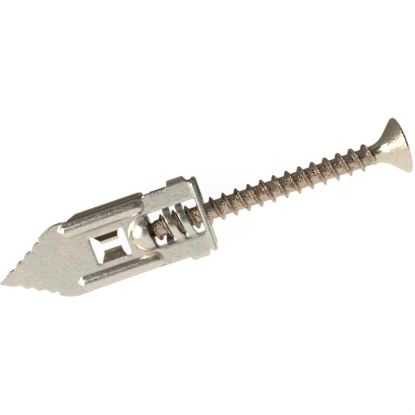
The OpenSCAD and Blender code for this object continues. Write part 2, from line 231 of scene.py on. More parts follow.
def bend_profile(s, parts):
    """A bent sheet's section. s runs along the outer face, and the sheet is flat for s < 0. parts are
    ("arc", radius, turn) with a turn in radians, positive away from the outer face, and ("line", length).
    Gives the outer point, its normal and the point on the inner face, in (along, up) coordinates."""
    s = np.asarray(s, float)
    out = np.stack([s, np.zeros_like(s)], -1)
    nrm = np.stack([np.zeros_like(s), np.ones_like(s)], -1)
    inner = out - SHEET * nrm
    at, angle, start = np.array([0.0, 0.0]), 0.0, 0.0
    creases = []
    for part in parts:
        d = np.array([math.cos(angle), -math.sin(angle)])
        n = np.array([math.sin(angle), math.cos(angle)])
        if part[0] == "line":
            on = (s >= start)[..., None]
            p = at + d * (s - start)[..., None]
            out, nrm, inner = np.where(on, p, out), np.where(on, n, nrm), np.where(on, p - SHEET * n, inner)
            at, start = at + d * part[1], start + part[1]
            continue
        r, turn = part[1], part[2]
        length, sign, end = r * abs(turn), math.copysign(1, turn), angle + turn
        centre = at - sign * r * n
        a = angle + turn * np.clip((s - start) / length, 0, 1)
        nn = np.stack([np.sin(a), np.cos(a)], -1)
        p = centre + sign * r * nn
        on = ((s >= start) & (s < start + length))[..., None]
        out, nrm, inner = np.where(on, p, out), np.where(on, nn, nrm), np.where(on, p - SHEET * nn, inner)
        n1 = np.array([math.sin(end), math.cos(end)])
        d1 = np.array([math.cos(end), -math.sin(end)])
        after = centre + sign * r * n1
        if sign > 0 and r < SHEET:
            # the inner face has no room for an arc of its own: it gets a tight crease
            lean = (n + n1) / (1 + n @ n1)
            crease = at + d * r * math.tan(turn / 2) - (SHEET + CREASE_R) * lean
            first = start + (crease + CREASE_R * n - at) @ d
            last = start + length + (crease + CREASE_R * n1 - after) @ d1
            creases.append((first, last, crease, angle, turn))
        at, angle, start = after, end, start + length
    for first, last, crease, angle, turn in creases:
        a = angle + turn * (s - first) / (last - first)
        on = ((s >= first) & (s <= last))[..., None]
        inner = np.where(on, crease + CREASE_R * np.stack([np.sin(a), np.cos(a)], -1), inner)
    return out, nrm, inner


FLAP_PARTS = [("arc", 0.22, math.radians(40)), ("line", 1.33),
              ("arc", 0.25, math.radians(-28)), ("line", 0.36)]
FLAP_LEN = sum(p[1] if p[0] == "line" else p[1] * abs(p[2]) for p in FLAP_PARTS)
TAB_PARTS = [("arc", TAB_R, TAB_TURN), ("line", 4.0)]
FOLD_PARTS = [("arc", FACE, math.pi / 2), ("line", 0.1)]
LIP_PARTS = [("arc", LIP_BEND, -math.pi / 2), ("line", 4.0)]


# ---------------------------------------------------------------- flat pattern

def tab_edge():
    """A side tab's outline on the front leg, sloped at one end of its foot and round at the other."""
    flat_end = TAB_R * (1 - math.cos(TAB_TURN))

    def at(u, z):
        """The pattern's point at u that ends up at the height z once the tab is bent."""
        return u, side_at(u) - TAB_R + TAB_R * TAB_TURN + (FACE - flat_end - z) / math.sin(TAB_TURN)

    x0, x1 = TAB_X
    foot = arc2((x1 - TAB_RAMP, TAB_LOW + TAB_RAMP), TAB_RAMP, -90, 0, 8)
    return ([(x0, side_at(x0))] + [at(x0, z) for z in (0.45, 0.2, GAP)]
            + [at(x0 + TAB_RAMP, TAB_LOW)] + [at(u, z) for u, z in foot]
            + [at(x1, z) for z in (-0.2, 0.2, 0.45)] + [(x1, side_at(x1))])


def waist_edge():
    """The back leg's narrower stretch, which the front leg's tabs close round."""
    x0, x1 = TAB_X[0] - TAB_RAMP, TAB_X[1] + TAB_RAMP
    return [(x0, side_at(x0)), (x0, WAIST_HALF), (x1, WAIST_HALF), (x1, side_at(x1))]


def fold_edge(seam_r):
    """A side fold's outline, between ramps that slope back to the side, as (u, v, edge radius).
    seam_r is the edge radius where this leg's half of the fold meets the other's."""
    ramp = []
    for i in range(9):
        phi = math.radians(90 * i / 8)
        y = FOLD_Y + FACE * math.sin(phi)
        ramp.append((FOLD_RAMP * (y - FOLD_FOOT) / (FOLD_HALF - FOLD_FOOT), FOLD_Y + FACE * phi))
    seam = ramp[-1][1] - 0.01
    edge = []
    for x, way, steps in ((FOLD_X[0], 1, ramp), (FOLD_X[1], -1, ramp[::-1])):
        edge += [(x + way * u, max(v, side_at(x)), EDGE_R if v < seam else seam_r) for u, v in steps]
    return edge


def screw_window():
    """The window that shows the screw, with the mouth's hole at its end."""
    lip_z = FACE + LIP_BEND
    dome = np.linspace(0, math.asin(WIN_HALF / DOME_R), 26)
    hole = np.linspace(math.asin(lip_z / MOUTH_R), math.pi / 2, 14)
    half = [(DOME_X, DOME_R * math.sin(t)) for t in dome] + [(DOME_X + 0.02, WIN_HALF)]
    half += arc2((BEND_END - WIN_CORNER, WIN_HALF - WIN_CORNER), WIN_CORNER, 90, 0, 8)
    half += [(BEND_END + MOUTH_R * math.sin(t) - lip_z, MOUTH_R * math.cos(t)) for t in hole]
    return mirror_loop(half)


def flap_window(front):
    """The window round the flaps, or the plain one behind it, about its own middle."""
    half_len, half_w = FLAP_WIN[0] / 2, FLAP_WIN[1] / 2
    if not front:
        return rounded_box(half_len + BACK_WIN_ROOM[0], half_w + BACK_WIN_ROOM[1], FLAP_CORNER, 5)
    left = [(-half_len, 0)]
    left += arc2((FLAP_CORNER - half_len, half_w - FLAP_CORNER), FLAP_CORNER, 180, 90, 5)
    left += [(-FLAP_ROOT - 0.06, half_w), (-FLAP_ROOT, half_w - 0.1), (-FLAP_END - 0.04, half_w - FLAP_SLOPE)]
    left += arc2((FLAP_TIP_R - FLAP_END, half_w - FLAP_LEN + FLAP_TIP_R), FLAP_TIP_R, 180, 270, 4)
    return mirror_loop(left + [(-x, y) for x, y in reversed(left)])


def outward(p):
    """Mitred vectors that point out of the sheet at the points of a loop, whichever way it runs."""
    nxt, prv = np.roll(p, -1, 0), np.roll(p, 1, 0)
    e0, e1 = p - prv, nxt - p
    e0 /= np.maximum(np.linalg.norm(e0, axis=1, keepdims=True), 1e-9)
    e1 /= np.maximum(np.linalg.norm(e1, axis=1, keepdims=True), 1e-9)
    n0, n1 = np.stack([e0[:, 1], -e0[:, 0]], -1), np.stack([e1[:, 1], -e1[:, 0]], -1)
    dot = np.maximum((n0 * n1).sum(1), -0.3)
    n = (n0 + n1) / (1 + dot)[:, None]
    longest = 1.6
    n = n / np.maximum(np.linalg.norm(n, axis=1, keepdims=True) / longest, 1)
    area = 0.5 * np.sum(p[:, 0] * nxt[:, 1] - nxt[:, 0] * p[:, 1])
    largest_window = 100
    hole = abs(area) < largest_window
    return n * (1 if area > 0 else -1) * (-1 if hole else 1)


def inside(loops, q):
    """Whether points lie inside the outline and outside the windows."""
    res = np.zeros(len(q), bool)
    for p in loops:
        for (x0, y0), (x1, y1) in zip(p, np.roll(p, -1, 0)):
            if y0 == y1:
                continue
            crossed = (y0 > q[:, 1]) != (y1 > q[:, 1])
            res ^= crossed & (q[:, 0] < (x1 - x0) * (q[:, 1] - y0) / (y1 - y0) + x0)
    return res


def near_edges(loops, q, dist):
    """Whether points lie closer than dist to one of the loops."""
    close = np.zeros(len(q), bool)
    for p in loops:
        for a, b in zip(p, np.roll(p, -1, 0)):
            lo, hi = np.minimum(a, b) - dist, np.maximum(a, b) + dist
            idx = np.where(((q > lo) & (q < hi)).all(1))[0]
            if not len(idx):
                continue
            d = b - a
            t = np.clip(((q[idx] - a) @ d) / max(d @ d, 1e-12), 0, 1)
            close[idx] |= np.linalg.norm(q[idx] - (a + t[:, None] * d), axis=1) < dist
    return close


def triangulate(loops, pts):
    """Points and triangles that fill the pattern. Its loops are kept as edges."""
    pts = pts[inside(loops, pts) & ~near_edges(loops, pts, 0.035)]
    _, first = np.unique(np.round(pts / 0.045).astype(int), axis=0, return_index=True)
    pts = pts[np.sort(first)]
    verts, edges = [], []
    for p in loops:
        k = len(verts)
        verts += [tuple(q) for q in p]
        edges += [(k + i, k + (i + 1) % len(p)) for i in range(len(p))]
    verts += [tuple(q) for q in pts]
    v, e, f, _, marks, _ = delaunay_2d_cdt([Vector(q) for q in verts], edges, [], 0, 1e-6)
    walls = {tuple(sorted(k)) for k, mark in zip(e, marks) if mark}
    sides = [[tuple(sorted(k)) for k in zip(t, t[1:] + t[:1])] for t in f]
    shared = {}
    for i, keys in enumerate(sides):
        for key in keys:
            shared.setdefault(key, []).append(i)
    # from the hull inwards, each loop that is crossed turns outside into inside or back
    filled = {i[0]: key in walls for key, i in shared.items() if len(i) == 1}
    todo = list(filled)
    while todo:
        t = todo.pop()
        for key in sides[t]:
            for u in shared[key]:
                if u not in filled:
                    filled[u] = filled[t] != (key in walls)
                    todo.append(u)
    return np.array([tuple(q) for q in v]), np.array([t for i, t in enumerate(f) if filled[i]])


# ---------------------------------------------------------------- legs

# Rows of points round a sheared edge, as shares of its radius in from the outline and down from the
# face, and the depth of the face that they count from
ROUND_ROWS = [(1 - math.sin(math.radians(a)), 1 - math.cos(math.radians(a)), 0.0) for a in (0, 30, 60, 90)]
EDGE_ROWS = ROUND_ROWS + [(0.0, 0.0, SHEET / 2)] + [(i, -d, SHEET) for i, d, _ in reversed(ROUND_ROWS)]


def skin(start, rows, m):
    """Faces between closed rows of m points each, which follow one another from the point start."""
    faces = []
    for a in range(start, start + (rows - 1) * m, m):
        b = a + m
        faces += [(a + i, a + (i + 1) % m, b + (i + 1) % m, b + i) for i in range(m)]
    return faces


class Leg:
    """One leg of the folded sheet, worked out from its flat pattern (u along the leg, v across it)."""

    def __init__(self, front):
        self.front = front
        w, h = FRONT_RIB if front else BACK_RIB
        self.rib = (w, h, (w * w / 4 + h * h) / (2 * h))
        self.rib_y = (BODY_HALF if front else WAIST_HALF) - RIB_MARGIN - w / 2

    def raise_at(self, u, v):
        """Height of the pressed ribs and dome above the flat sheet."""
        w, h, r = self.rib
        x0, x1 = RIB_X[0] + w / 2, RIB_X[1] - w / 2
        off = np.hypot(np.maximum(np.maximum(x0 - u, u - x1), 0), np.abs(v) - self.rib_y)
        rib = smax(cap(off, r, 0.96, r - h, 3.4), 0, RIB_FOOT)
        off = np.sqrt(v * v + np.maximum(DOME_C - u, 0) ** 2)
        dome = smax(cap(off, DOME_R, 0.97, FACE, 4), 0, DOME_FOOT) * (1 - smoothstep((u - DOME_X) / 0.6))
        return np.maximum(rib, 0) + np.maximum(dome, 0)

    def base(self, u, v):
        """Outer face, its normal and the inner face of the bent sheet, before ribs and dome. Where
        bent is true the inner face is the bend's own, and elsewhere it lies along the normal."""
        a, side, zero = np.abs(v), np.where(v < 0, -1.0, 1.0), np.zeros_like(u)
        up = np.array([0.0, 0.0, 1.0])
        pos = np.stack([u, a, zero + FACE], -1)
        nrm = np.stack([zero, zero, zero + 1], -1)
        inner = np.stack([u, a, zero + GAP], -1)
        bent = np.zeros(u.shape, bool)

        def put(on, section, origin, axis, own_inner):
            """Where on is true, the sheet follows a section that starts at origin and runs along axis."""
            nonlocal pos, nrm, inner, bent
            origin = np.stack(np.broadcast_arrays(*origin), -1)
            p, n, i = (k[..., :1] * np.array(axis, float) + k[..., 1:] * up for k in section)
            where = on[..., None]
            pos, nrm = np.where(where, origin + p, pos), np.where(where, n, nrm)
            inner = np.where(where, origin + i, inner)
            bent = bent | (on & own_inner)

        # lip: turns up and away from the other leg
        put(u > BEND_X, bend_profile(u - BEND_X, LIP_PARTS), (BEND_X, a, FACE), (1, 0, 0), False)
        # side folds: half way round to the other leg
        put((a > FOLD_Y) & (u > TAB_X[1] + 1.5) & (u <= BEND_X), bend_profile(a - FOLD_Y, FOLD_PARTS),
            (u, FOLD_Y, FACE), (0, 1, 0), False)
        if self.front:
            # side tabs, with the bend easing in and out at their ends
            root = side_at(u) - TAB_R
            s = a - root
            ease = smoothstep((u - TAB_X[0] + TAB_EASE) / TAB_EASE)
            ease = (ease * smoothstep((TAB_X[1] + TAB_EASE - u) / TAB_EASE))[..., None]
            flat = (np.stack([s, zero], -1), np.stack([zero, zero + 1], -1), np.stack([s, zero - SHEET], -1))
            section = [f + (b - f) * ease for f, b in zip(flat, bend_profile(s, TAB_PARTS))]
            section[1] /= np.linalg.norm(section[1], axis=-1, keepdims=True)
            near = (s > -0.95) & (u > TAB_X[0] - 0.25) & (u < TAB_X[1] + 0.25)
            put(near, section, (u, root, FACE), (0, 1, 0), True)
            # window flaps: down through the other leg's window
            s = FLAP_WIN[1] / 2 - a
            near = (s > -0.6) & (np.abs(u - FLAP_X) < FLAP_WIN[0] / 2 - 0.35)
            put(near, bend_profile(s, FLAP_PARTS), (u, FLAP_WIN[1] / 2, FACE), (0, -1, 0), True)
        for k in (pos, nrm, inner):
            k[..., 1] *= side
        return pos, nrm, inner, bent

    def outer(self, u, v):
        """The outer face with its ribs and dome, and what base() says of the inner face."""
        pos, nrm, inner, bent = self.base(u, v)
        return pos + nrm * self.raise_at(u, v)[..., None], inner, bent

    def place(self, u, v, depth):
        """3-D points for flat-pattern points at a depth below the outer face."""
        p, inner, bent = self.outer(u, v)
        e = 0.004
        du = self.outer(u + e, v)[0] - self.outer(u - e, v)[0]
        dv = self.outer(u, v + e)[0] - self.outer(u, v - e)[0]
        n = np.cross(du, dv)
        n /= np.maximum(np.linalg.norm(n, axis=-1, keepdims=True), 1e-12)
        inner = np.where(bent[..., None], inner, p - SHEET * n)
        out = p + (inner - p) * (depth / SHEET)[..., None]
        if not self.front:
            out[..., 2] *= -1
        return out

    def half_edge(self, seam_r):
        """The outline of one side from the point to the lip's corner, as (u, v, edge radius)."""
        pts = [(0.0, TIP_HALF)]
        for i in range(TEETH):
            u, v = (TOOTH_AT[k] + i * TOOTH_STEP[k] for k in (0, 1))
            pts += [(u, v), (u + TOOTH_LAND[0], v + TOOTH_LAND[1])]
        start = 90 + math.degrees(SHOULDER_A)
        pts += arc2((SHOULDER_X, BODY_HALF - SHOULDER_R), SHOULDER_R, start, 90, 14)
        edge = [(u, v, TOOTH_EDGE_R) for u, v in round_corners(pts, TOOTH_R, keep=2 * TEETH + 1)]
        edge += [(u, v, EDGE_R) for u, v in (tab_edge() if self.front else waist_edge())]
        edge += fold_edge(seam_r) + [(BEND_X, LIP_HALF, EDGE_R)]
        top = BEND_END + LIP_TOP - FACE - LIP_BEND
        edge += [(u, v, LIP_EDGE_R) for u, v in arc2((top - LIP_R, LIP_HALF - LIP_R), LIP_R, 90, 0, 8)]
        return dense(edge)

    def loops(self):
        """The outline and the windows of the flat pattern, as lists of (u, v, edge radius)."""
        left = self.half_edge(0.05)
        right = [(u, -v, r) for u, v, r in self.half_edge(0.0)]
        return [left + right[::-1],
                [(u, v, EDGE_R) for u, v in dense_loop(screw_window())],
                [(FLAP_X + u, v, EDGE_R) for u, v in dense_loop(flap_window(self.front))]]

    def points(self):
        """Points inside the pattern: close together where the sheet is bent or pressed."""
        sets = []

        def grid(us, vs, du, dv):
            uu, vv = np.meshgrid(np.arange(*us, du), np.arange(*sorted(vs), dv), indexing="ij")
            sets.append(np.stack([uu.ravel(), vv.ravel()], -1))

        for s in (-1, 1):
            y, half = s * self.rib_y, self.rib[0] / 2
            grid((RIB_X[0] - 0.3, RIB_X[1] + 0.3), (y - half - 0.25, y + half + 0.25), 0.13, 0.09)
            if self.front:
                y = s * BODY_HALF
                grid((TAB_X[0] - 0.55, TAB_X[1] + 0.55), (y - s * 0.6, y + s * 0.35), 0.15, 0.06)
                y = s * FLAP_WIN[1] / 2
                for root, end in ((0, 0.2), (1.4, 1.72)):
                    grid((FLAP_X - 2.05, FLAP_X + 2.05), (y - s * root, y - s * end), 0.2, 0.04)
            fold = (s * (FOLD_Y - 0.05), s * (FOLD_Y + FACE * math.pi / 2))
            grid((FOLD_X[0] - 0.2, FOLD_X[1] + 0.2), fold, 0.25, 0.1)
        grid((DOME_C - DOME_R - 0.3, DOME_X + 0.7), (-DOME_R - 0.35, DOME_R + 0.35), 0.1, 0.1)
        # rings round the dome's foot, and lines beside its straight end
        foot = []
        for r in np.arange(DOME_R - 0.42, DOME_R + 0.1, 0.055):
            for t in np.radians(np.arange(90, 271, 2.0)):
                foot.append((DOME_C + r * math.cos(t), r * math.sin(t)))
            for u in np.arange(DOME_C, DOME_X, 0.1):
                foot += [(u, r), (u, -r)]
        sets.append(np.array(foot))
        grid((BEND_X - 0.03, BEND_X + LIP_BEND * 1.65), (-LIP_HALF, LIP_HALF), 0.07, 0.35)
        grid((0.4, BODY_LEN + 1.2), (-BODY_HALF - 2.6, BODY_HALF + 2.6), 0.55, 0.55)
        return np.concatenate(sets)

    def mesh(self):
        """The whole leg as one closed mesh: two faces, and rounded edges round every outline."""
        rings = []
        for loop in self.loops():
            p, rad = np.array(loop)[:, :2], np.array(loop)[:, 2]
            rings.append((p, rad, outward(p)))
        flat, tris = triangulate([p - n * rad[:, None] for p, rad, n in rings], self.points())
        count = len(flat)
        verts = [self.place(flat[:, 0], flat[:, 1], np.full(count, depth)) for depth in (0.0, SHEET)]
        faces = [tuple(t) for t in tris] + [tuple(k + count for k in t[::-1]) for t in tris]
        count *= 2
        for p, rad, n in rings:
            for inset, down, face in EDGE_ROWS:
                q = p - n * (rad * inset)[:, None]
                verts.append(self.place(q[:, 0], q[:, 1], np.clip(face + rad * down, 0, SHEET)))
            faces += skin(count, len(EDGE_ROWS), len(p))
            count += len(p) * len(EDGE_ROWS)
        return np.concatenate(verts), faces


# ---------------------------------------------------------------- pieces

def to_object(name, verts, faces, mat, smooth_deg=38, slot="sheet", body="anchor", node="anchor_body"):
    """A closed mesh in millimetres becomes a piece in the row's frame that rides on its body."""
    me = bpy.data.meshes.new(name)
    v = np.asarray(verts) * MM + np.array([TIP_X, 0, AXIS_Z])
    me.from_pydata(v.tolist(), [], faces)
    bm = bmesh.new()
    bm.from_mesh(me)
    bmesh.ops.remove_doubles(bm, verts=bm.verts, dist=2e-7)
    bmesh.ops.recalc_face_normals(bm, faces=bm.faces)
    bm.to_mesh(me)
    bm.free()
    me.shade_smooth()
    me.set_sharp_from_angle(angle=math.radians(smooth_deg))
    obj = bpy.data.objects.new(name, me)
    bpy.context.scene.collection.objects.link(obj)
    me.materials.append(mat)
    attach(obj, body)
    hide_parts(node)
    return obj


def hoop_path():
    """The middle line of a half hoop, as (y, z, normal y, normal z): an arc over the screw between
    two small curves that run out into the sheet's plane."""
    mid, foot_z = (BORE_R + DOME_R) / 2, GAP + SHEET / 2 - 0.004
    reach = mid + HOOP_FOOT_R
    low = math.asin((foot_z + HOOP_FOOT_R) / reach)
    foot_y = reach * math.cos(low)
    path = [(foot_y + 0.45 * (1 - k), foot_z, 0.0, 1.0) for k in np.linspace(0, 1, 4)[:-1]]
    for k in np.linspace(0, 1, 9):
        a = -math.pi / 2 - k * (math.pi / 2 - low)
        c, s = math.cos(a), math.sin(a)
        path.append((foot_y + HOOP_FOOT_R * c, foot_z + HOOP_FOOT_R + HOOP_FOOT_R * s, -c, -s))
    for k in np.linspace(0, 1, 33)[1:]:
        a = low + k * (math.pi / 2 - low)
        path.append((mid * math.cos(a), mid * math.sin(a), math.cos(a), math.sin(a)))
    return path + [(-y, z, -ny, nz) for y, z, ny, nz in path[-2::-1]]


def hoop(name, x, lean, mat):
    """A half hoop pressed out of the sheet across the window, slanted as the thread is."""
    thick = SHEET - 0.012
    path, section = hoop_path(), rounded_box(HOOP_W / 2, thick / 2, HOOP_EDGE_R, 4)
    verts, m = [], len(section)
    for y, z, ny, nz in path:
        shear = -lean * PITCH / 4 * y / DOME_R
        verts += [(x + shear + a, y + ny * b, z + nz * b) for a, b in section]
    faces = skin(0, len(path), m)
    faces += [tuple(range(m))[::-1], tuple(range((len(path) - 1) * m, len(path) * m))]
    v = np.array(verts)
    if lean < 0:
        v[:, 2] *= -1
    return to_object(name, v, faces, mat)


def core_r(x):
    """Radius of the screw's core: it tapers at the point and flares into the neck."""
    flare = np.minimum(np.maximum(x - NECK_END, 0), 2.4)
    return CORE_R * np.minimum(1, x / POINT_LEN) + NECK_R - np.sqrt(NECK_R ** 2 - flare ** 2)


def crest_r(x):
    """Radius of the thread's crest: it grows at the point and fades into the neck."""
    grown = 0.6 * (CORE_R * np.minimum(1, x / POINT_LEN) + CREST_R * x / THREAD_GROW)
    faded = CORE_R + 0.04 + (CREST_R - CORE_R) * (THREAD_END - x) / THREAD_FADE
    return np.minimum(np.minimum(CREST_R, grown), faded)


def ridge(dx):
    """The thread's section from 0 at its foot to 1 at its rounded crest."""
    flank = (0.42 - np.abs(dx)) / 0.34
    return -smax(-smax(flank, 0, 0.16), -1.0, 0.10)


def ring(x, r, turn):
    """Points at a turn in radians, or at turns, round the screw's axis."""
    return x, -r * np.sin(turn), r * np.cos(turn)


def thread_mesh():
    """The shank: columns of points that wind with the thread, all cut off at the point and the neck."""
    per = len(RIDGE_STEPS)
    first = -int(math.ceil(THREAD_PHASE / PITCH)) - 2
    last = int(math.ceil((THREAD_CUT - THREAD_PHASE) / PITCH)) + 1
    off = np.tile(RIDGE_STEPS, last - first)
    base = np.repeat(np.arange(first, last) * PITCH + THREAD_PHASE, per) + off
    verts, faces, n = [], [], len(base)
    for i in range(TURN_STEPS):
        free = base + PITCH * i / TURN_STEPS
        x = np.clip(free, 0, THREAD_CUT)
        # where a row is cut short, its distance from the ridge is taken anew
        dx = (off + (x - free) + PITCH / 2) % PITCH - PITCH / 2
        low = core_r(x)
        r = low + np.maximum(crest_r(x) - low, 0) * ridge(dx)
        verts += zip(*ring(x, r, 2 * math.pi * i / TURN_STEPS))
    for i in range(TURN_STEPS - 1):
        faces += [(a, a + 1, a + 1 + n, a + n) for a in range(i * n, i * n + n - 1)]
    # after a full turn a row has moved on by one pitch, so the last column meets the first there
    start = (TURN_STEPS - 1) * n
    faces += [(start + j, start + j + 1, j + per + 1, j + per) for j in range(n - 1 - per)]
    return verts, faces


def head_outline():
    """The neck, the cone and the rounded rim, as (x, radius) from the thread's cut to the face."""
    cut = math.degrees(math.asin((THREAD_CUT - NECK_END) / NECK_R))
    outline = arc2((NECK_END, CORE_R + NECK_R), NECK_R, -90 + cut, -45, 12)
    rim_x = SCREW_LEN - RIM_T
    outline += [(rim_x - d, HEAD_R - d) for d in (1.2, 0.6)]
    outline += arc2((rim_x + RIM_R * math.tan(math.pi / 8), HEAD_R - RIM_R), RIM_R, 135, 90, 6)
    return outline + arc2((SCREW_LEN - FACE_R, HEAD_R - FACE_R), FACE_R, 90, 0, 4)


def cross_loop(arm, half):
    """The outline of the cross recess at one depth."""
    corner = half * 1.28
    one = [(arm, 0), (arm, half * 0.55), (arm - 0.12, half * 0.92), (arm - 0.3, half),
           (corner + 0.3, half), (corner + 0.1, half * 1.04), (corner, corner * 0.98)]
    one += [(y, x) for x, y in reversed(one[1:-1])]
    pts = []
    for q in range(4):
        c, s = math.cos(math.pi / 2 * q), math.sin(math.pi / 2 * q)
        pts += [(x * c - y * s, x * s + y * c) for x, y in one]
    return np.array(pts)


def screw_mesh(mat):
    """The screw as one mesh: point, thread, neck, head and cross recess."""
    turns = 2 * math.pi * np.arange(TURN_STEPS) / TURN_STEPS
    verts, faces = thread_mesh()
    outline = head_outline()
    faces += skin(len(verts), len(outline), TURN_STEPS)
    for x, r in outline:
        verts += zip(*ring(np.full(TURN_STEPS, x), r, turns))
    # the face round the recess
    crosses = [cross_loop(arm, half) for _, arm, half in RECESS]
    rim = np.stack(ring(0, HEAD_R - FACE_R, turns)[1:], -1)
    flat, tris = triangulate([rim, crosses[0]], np.zeros((0, 2)))
    faces += [tuple(int(k) + len(verts) for k in t) for t in tris]
    verts += [(SCREW_LEN, y, z) for y, z in flat]
    # the recess, down to its point
    m = len(crosses[0])
    faces += skin(len(verts), len(RECESS), m)
    for (depth, _, _), loop in zip(RECESS, crosses):
        verts += [(SCREW_LEN - depth, y, z) for y, z in loop]
    a, end = len(verts) - m, len(verts)
    verts.append((SCREW_LEN - RECESS_END, 0, 0))
    faces += [(a + i, a + (i + 1) % m, end) for i in range(m)]
    v = np.array(verts)
    v[:, 0] += SCREW_X
    return to_object("screw_turned", v, faces, mat, smooth_deg=40, slot="screw", body="screw", node="screw")


# ---------------------------------------------------------------- materials

class Nodes:
    """Short way to write a node tree."""

    def __init__(self, tree):
        self.tree = tree

    def put(self, socket, value):
        """Links a node's output to an input, or sets the input's own value. Colours have no alpha."""
        if isinstance(value, bpy.types.NodeSocket):
            self.tree.links.new(value, socket)
        else:
            socket.default_value = (*value, 1) if socket.type == "RGBA" else value

    def add(self, kind, **values):
        """A new node. Names with a capital are inputs, and the others are the node's settings."""
        node = self.tree.nodes.new("ShaderNode" + kind)
        for name, value in values.items():
            if name[0].isupper():
                self.put(node.inputs[name.replace("_", " ")], value)
            else:
                setattr(node, name, value)
        return node

    def noise(self, scale, detail, rough=0.5, space="Object"):
        vector = self.add("TexCoord").outputs[space]
        noise = self.add("TexNoise", Vector=vector, Scale=scale, Detail=detail, Roughness=rough)
        return noise.outputs["Fac"]

    def ramp(self, fac, stops):
        node = self.add("ValToRGB", Fac=fac)
        elements = node.color_ramp.elements
        while len(elements) < len(stops):
            elements.new(0.5)
        for element, (place, color) in zip(elements, stops):
            element.position, element.color = place, (*color, 1)
        return node.outputs["Color"]

    def mix(self, fac, a, b, blend="MIX"):
        node = self.add("Mix", data_type="RGBA", blend_type=blend)
        for value, key in ((fac, 0), (a, 6), (b, 7)):
            self.put(node.inputs[key], value)
        return node.outputs[2]

    def calc(self, operation, a, b=0.0):
        node = self.add("Math", operation=operation)
        self.put(node.inputs[0], a)
        self.put(node.inputs[1], b)
        return node.outputs[0]

    def above(self, a, limit):
        return self.calc("GREATER_THAN", a, limit)

    def below(self, a, limit):
        return self.calc("LESS_THAN", a, limit)

    def both(self, a, b):
        return self.calc("MULTIPLY", a, b)

    def position(self):
        """The x, y and z of the shaded point, in metres in the object's own frame."""
        return self.add("SeparateXYZ", Vector=self.add("TexCoord").outputs["Object"]).outputs


class Material(Nodes):
    """A new material's node tree, with its principled shader."""

    def __init__(self, name):
        self.mat = bpy.data.materials.new(name)
        self.mat.use_nodes = True
        super().__init__(self.mat.node_tree)
        self.shader = self.tree.nodes["Principled BSDF"]

    def give(self, name, value):
        self.put(self.shader.inputs[name], value)

    def bump(self, height, distance, strength=1.0):
        """Adds a bump on top of those that the shader has."""
        node = self.add("Bump", Strength=strength, Distance=distance, Height=height)
        for link in self.shader.inputs["Normal"].links:
            self.put(node.inputs["Normal"], link.from_socket)
        self.give("Normal", node.outputs["Normal"])


WHITE = (1, 1, 1)
SHEET_TINTS = [(0.32, (0.69, 0.72, 0.62)), (0.43, (0.74, 0.72, 0.63)), (0.50, (0.75, 0.70, 0.62)),
               (0.58, (0.79, 0.71, 0.63)), (0.68, (0.80, 0.75, 0.62))]
SCREW_TINTS = [(0.34, (0.78, 0.70, 0.56)), (0.45, (0.80, 0.68, 0.54)), (0.57, (0.84, 0.70, 0.62)),
               (0.66, (0.84, 0.76, 0.58))]


def zinc(n, tints, rough, specks, pit):
    """Zinc plate with a pale yellow passivation: tints drift over it, with pits and pale specks in
    it as strong as specks says. Gives the colour."""
    n.give("Metallic", 1.0)
    n.give("Roughness", n.ramp(n.noise(900.0, 3.0), [(0.3, (rough[0],) * 3), (0.7, (rough[1],) * 3)]))
    speck = n.ramp(n.noise(2600.0, 4.0, 0.6), [(0.3, pit), (0.5, WHITE), (0.7, (1.0, 0.98, 0.94))])
    return n.mix(specks, n.ramp(n.noise(190.0, 2.0), tints), speck, "MULTIPLY")


def sheet_zinc():
    """The sheet: brown painted shade on its sheared edges and inside the fold, between its two legs."""
    n = Material("zinc_sheet")
    color = zinc(n, SHEET_TINTS, (0.17, 0.26), 0.4, (0.62, 0.57, 0.48))
    n.bump(n.noise(5200.0, 3.0, 0.6), 0.04 * MM)
    n.bump(n.noise(420.0, 2.0), 0.2 * MM, 0.03)
    x, y, z = n.position()
    rise = n.calc("DIVIDE", n.calc("SUBTRACT", z, AXIS_Z), FACE * MM)
    # painted shade: brown on the sheared edges and on every part of the sheet that lies between the legs'
    # outer faces
    painted_shade_brown = (0.44, 0.37, 0.29)
    tone = n.ramp(n.calc("ABSOLUTE", rise), [(0.16, WHITE), (0.22, painted_shade_brown), (0.82, painted_shade_brown), (0.97, WHITE)])
    # the two flaps: painted shade makes the one at +Y dark; painted reflection makes the one at -Y pale gold,
    # with painted shade, grey, near its root
    along = n.calc("ABSOLUTE", n.calc("SUBTRACT", x, TIP_X + FLAP_X * MM))
    across = n.calc("ABSOLUTE", y)
    on_flap = n.both(n.below(along, 2.1 * MM), n.below(across, 2.2 * MM))
    # painted shade: the dark colour of the +Y flap
    painted_flap_shade = (0.15, 0.12, 0.085)
    far = n.ramp(rise, [(0.03, WHITE), (0.08, painted_flap_shade), (0.90, painted_flap_shade), (0.99, WHITE)])
    # painted reflection on the -Y flap: gold and pale bands, and painted shade, grey, near its root
    near = n.ramp(rise, [(0.05, (0.78, 0.70, 0.50)), (0.40, (0.85, 0.72, 0.48)),
                         (0.60, (0.85, 0.84, 0.78)), (0.97, (0.62, 0.62, 0.60))])
    tone = n.mix(on_flap, tone, n.mix(n.above(y, 0.0), near, far))
    # the side folds get no painted shade
    on_fold = n.both(n.above(across, (MOUTH_HALF + 0.1) * MM), n.above(x, TIP_X + DOME_X * MM))
    n.give("Base Color", n.mix(1.0, color, n.mix(on_fold, tone, WHITE), "MULTIPLY"))
    return n.mat


